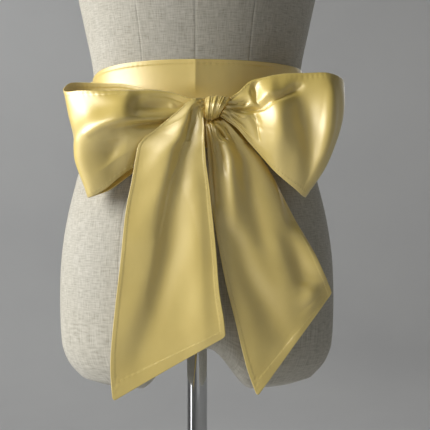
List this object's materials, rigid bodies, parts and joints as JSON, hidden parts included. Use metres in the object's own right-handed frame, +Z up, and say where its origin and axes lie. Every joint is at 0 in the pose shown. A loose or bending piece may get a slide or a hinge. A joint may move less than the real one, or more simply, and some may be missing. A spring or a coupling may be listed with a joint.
{
  "type": "satin sash tied in a bow on a dress form",
  "caption": "Wide satin sash wound round the waist of a limbless linen dress form on a pole stand, tied at the front in a bow with hanging tails.",
  "frame": {"origin": "centre of the base plate's underside, on the pole's axis", "axes": "+Z up along the pole, -Y out of the front where the bow is tied, +X to the viewer's right"},
  "size_m": [0.35, 0.35, 1.404],
  "materials": {
    "satin": "pale yellow satin, soft sheen, smooth",
    "linen": "plain woven natural linen, matt",
    "chrome": "polished chrome plate"
  },
  "bodies": {
    "root": {"form_torso": "linen", "stand_pole": "chrome", "stand_base": "chrome", "sash_waist_band": "satin", "sash_wrap_left": "satin", "sash_wrap_right": "satin", "sash_knot": "satin", "sash_loop_left": "satin", "sash_loop_right": "satin", "sash_tail_left": "satin", "sash_tail_right": "satin"}
  },
  "joints": []
}
